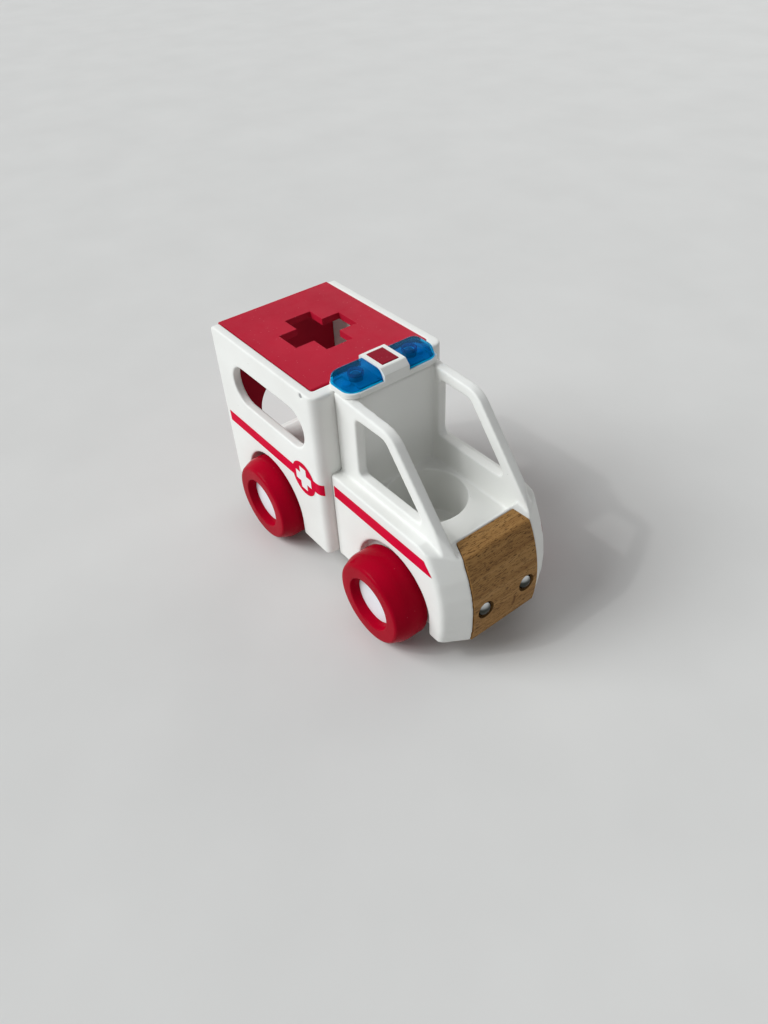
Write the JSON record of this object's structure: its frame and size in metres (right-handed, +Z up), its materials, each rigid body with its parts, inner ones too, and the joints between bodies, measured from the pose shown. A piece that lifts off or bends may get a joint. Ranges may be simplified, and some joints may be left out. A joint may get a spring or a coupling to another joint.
{
  "type": "toy ambulance",
  "caption": "Toy ambulance with a box body, a red roof lid that tips up, an open cab with a round seat well, a wooden nose, a push-button light bar and free-rolling wheels.",
  "frame": {"origin": "on the ground under the middle of the length", "axes": "+X to the front of the car, +Y to its left, +Z up"},
  "size_m": [0.1606, 0.085, 0.1055],
  "materials": {
    "white_plastic": "satin",
    "red_plastic": "satin",
    "red_tyre": "satin",
    "beech": "lacquered",
    "chrome": "polished",
    "blue_lens": "clear",
    "steel": "plain",
    "board": "matt",
    "clear_diode": "clear",
    "dark_plastic": "matt"
  },
  "bodies": {
    "body": {"rear_body": "white_plastic", "cab_shell": "white_plastic", "chassis": "white_plastic", "lid_hinge_pins": "steel", "wood_nose": "beech", "headlamp_left": "chrome", "headlamp_right": "chrome", "light_bar_base": "white_plastic", "light_bar_screws": "steel", "lens_left": "blue_lens", "lens_right": "blue_lens", "switch_case": "dark_plastic", "circuit_board": "board", "leds": "clear_diode", "flat_lead": "dark_plastic", "button_cells": "steel", "battery_contacts": "steel", "battery_door": "white_plastic", "battery_door_screw": "steel", "speaker": "dark_plastic", "body_screws": "steel"},
    "lid": {"roof_lid": "red_plastic"},
    "button": {"button_cap": "red_plastic", "switch_plunger": "dark_plastic"},
    "front_wheels": {"axle_front": "steel", "hub_front_left": "white_plastic", "hub_front_right": "white_plastic", "tyre_front_left": "red_tyre", "tyre_front_right": "red_tyre"},
    "rear_wheels": {"axle_rear": "steel", "hub_rear_left": "white_plastic", "hub_rear_right": "white_plastic", "tyre_rear_left": "red_tyre", "tyre_rear_right": "red_tyre"}
  },
  "joints": [
    {"name": "lid_open", "type": "hinge", "parent": "body", "child": "lid", "pos_m": [-0.00675, 0, 0.0964], "axis": [0, 1, 0], "range_deg": [0, 90]},
    {"name": "button_press", "type": "slide", "parent": "body", "child": "button", "axis": [0, 0, -1], "range_m": [0, 0.001], "stiffness_N_per_m": 300, "springref_m": -0.001},
    {"name": "front_wheels_spin", "type": "hinge", "parent": "body", "child": "front_wheels", "pos_m": [0.04155, 0, 0.021], "axis": [0, 1, 0], "continuous": true},
    {"name": "rear_wheels_spin", "type": "hinge", "parent": "body", "child": "rear_wheels", "pos_m": [-0.04295, 0, 0.021], "axis": [0, 1, 0], "continuous": true}
  ]
}
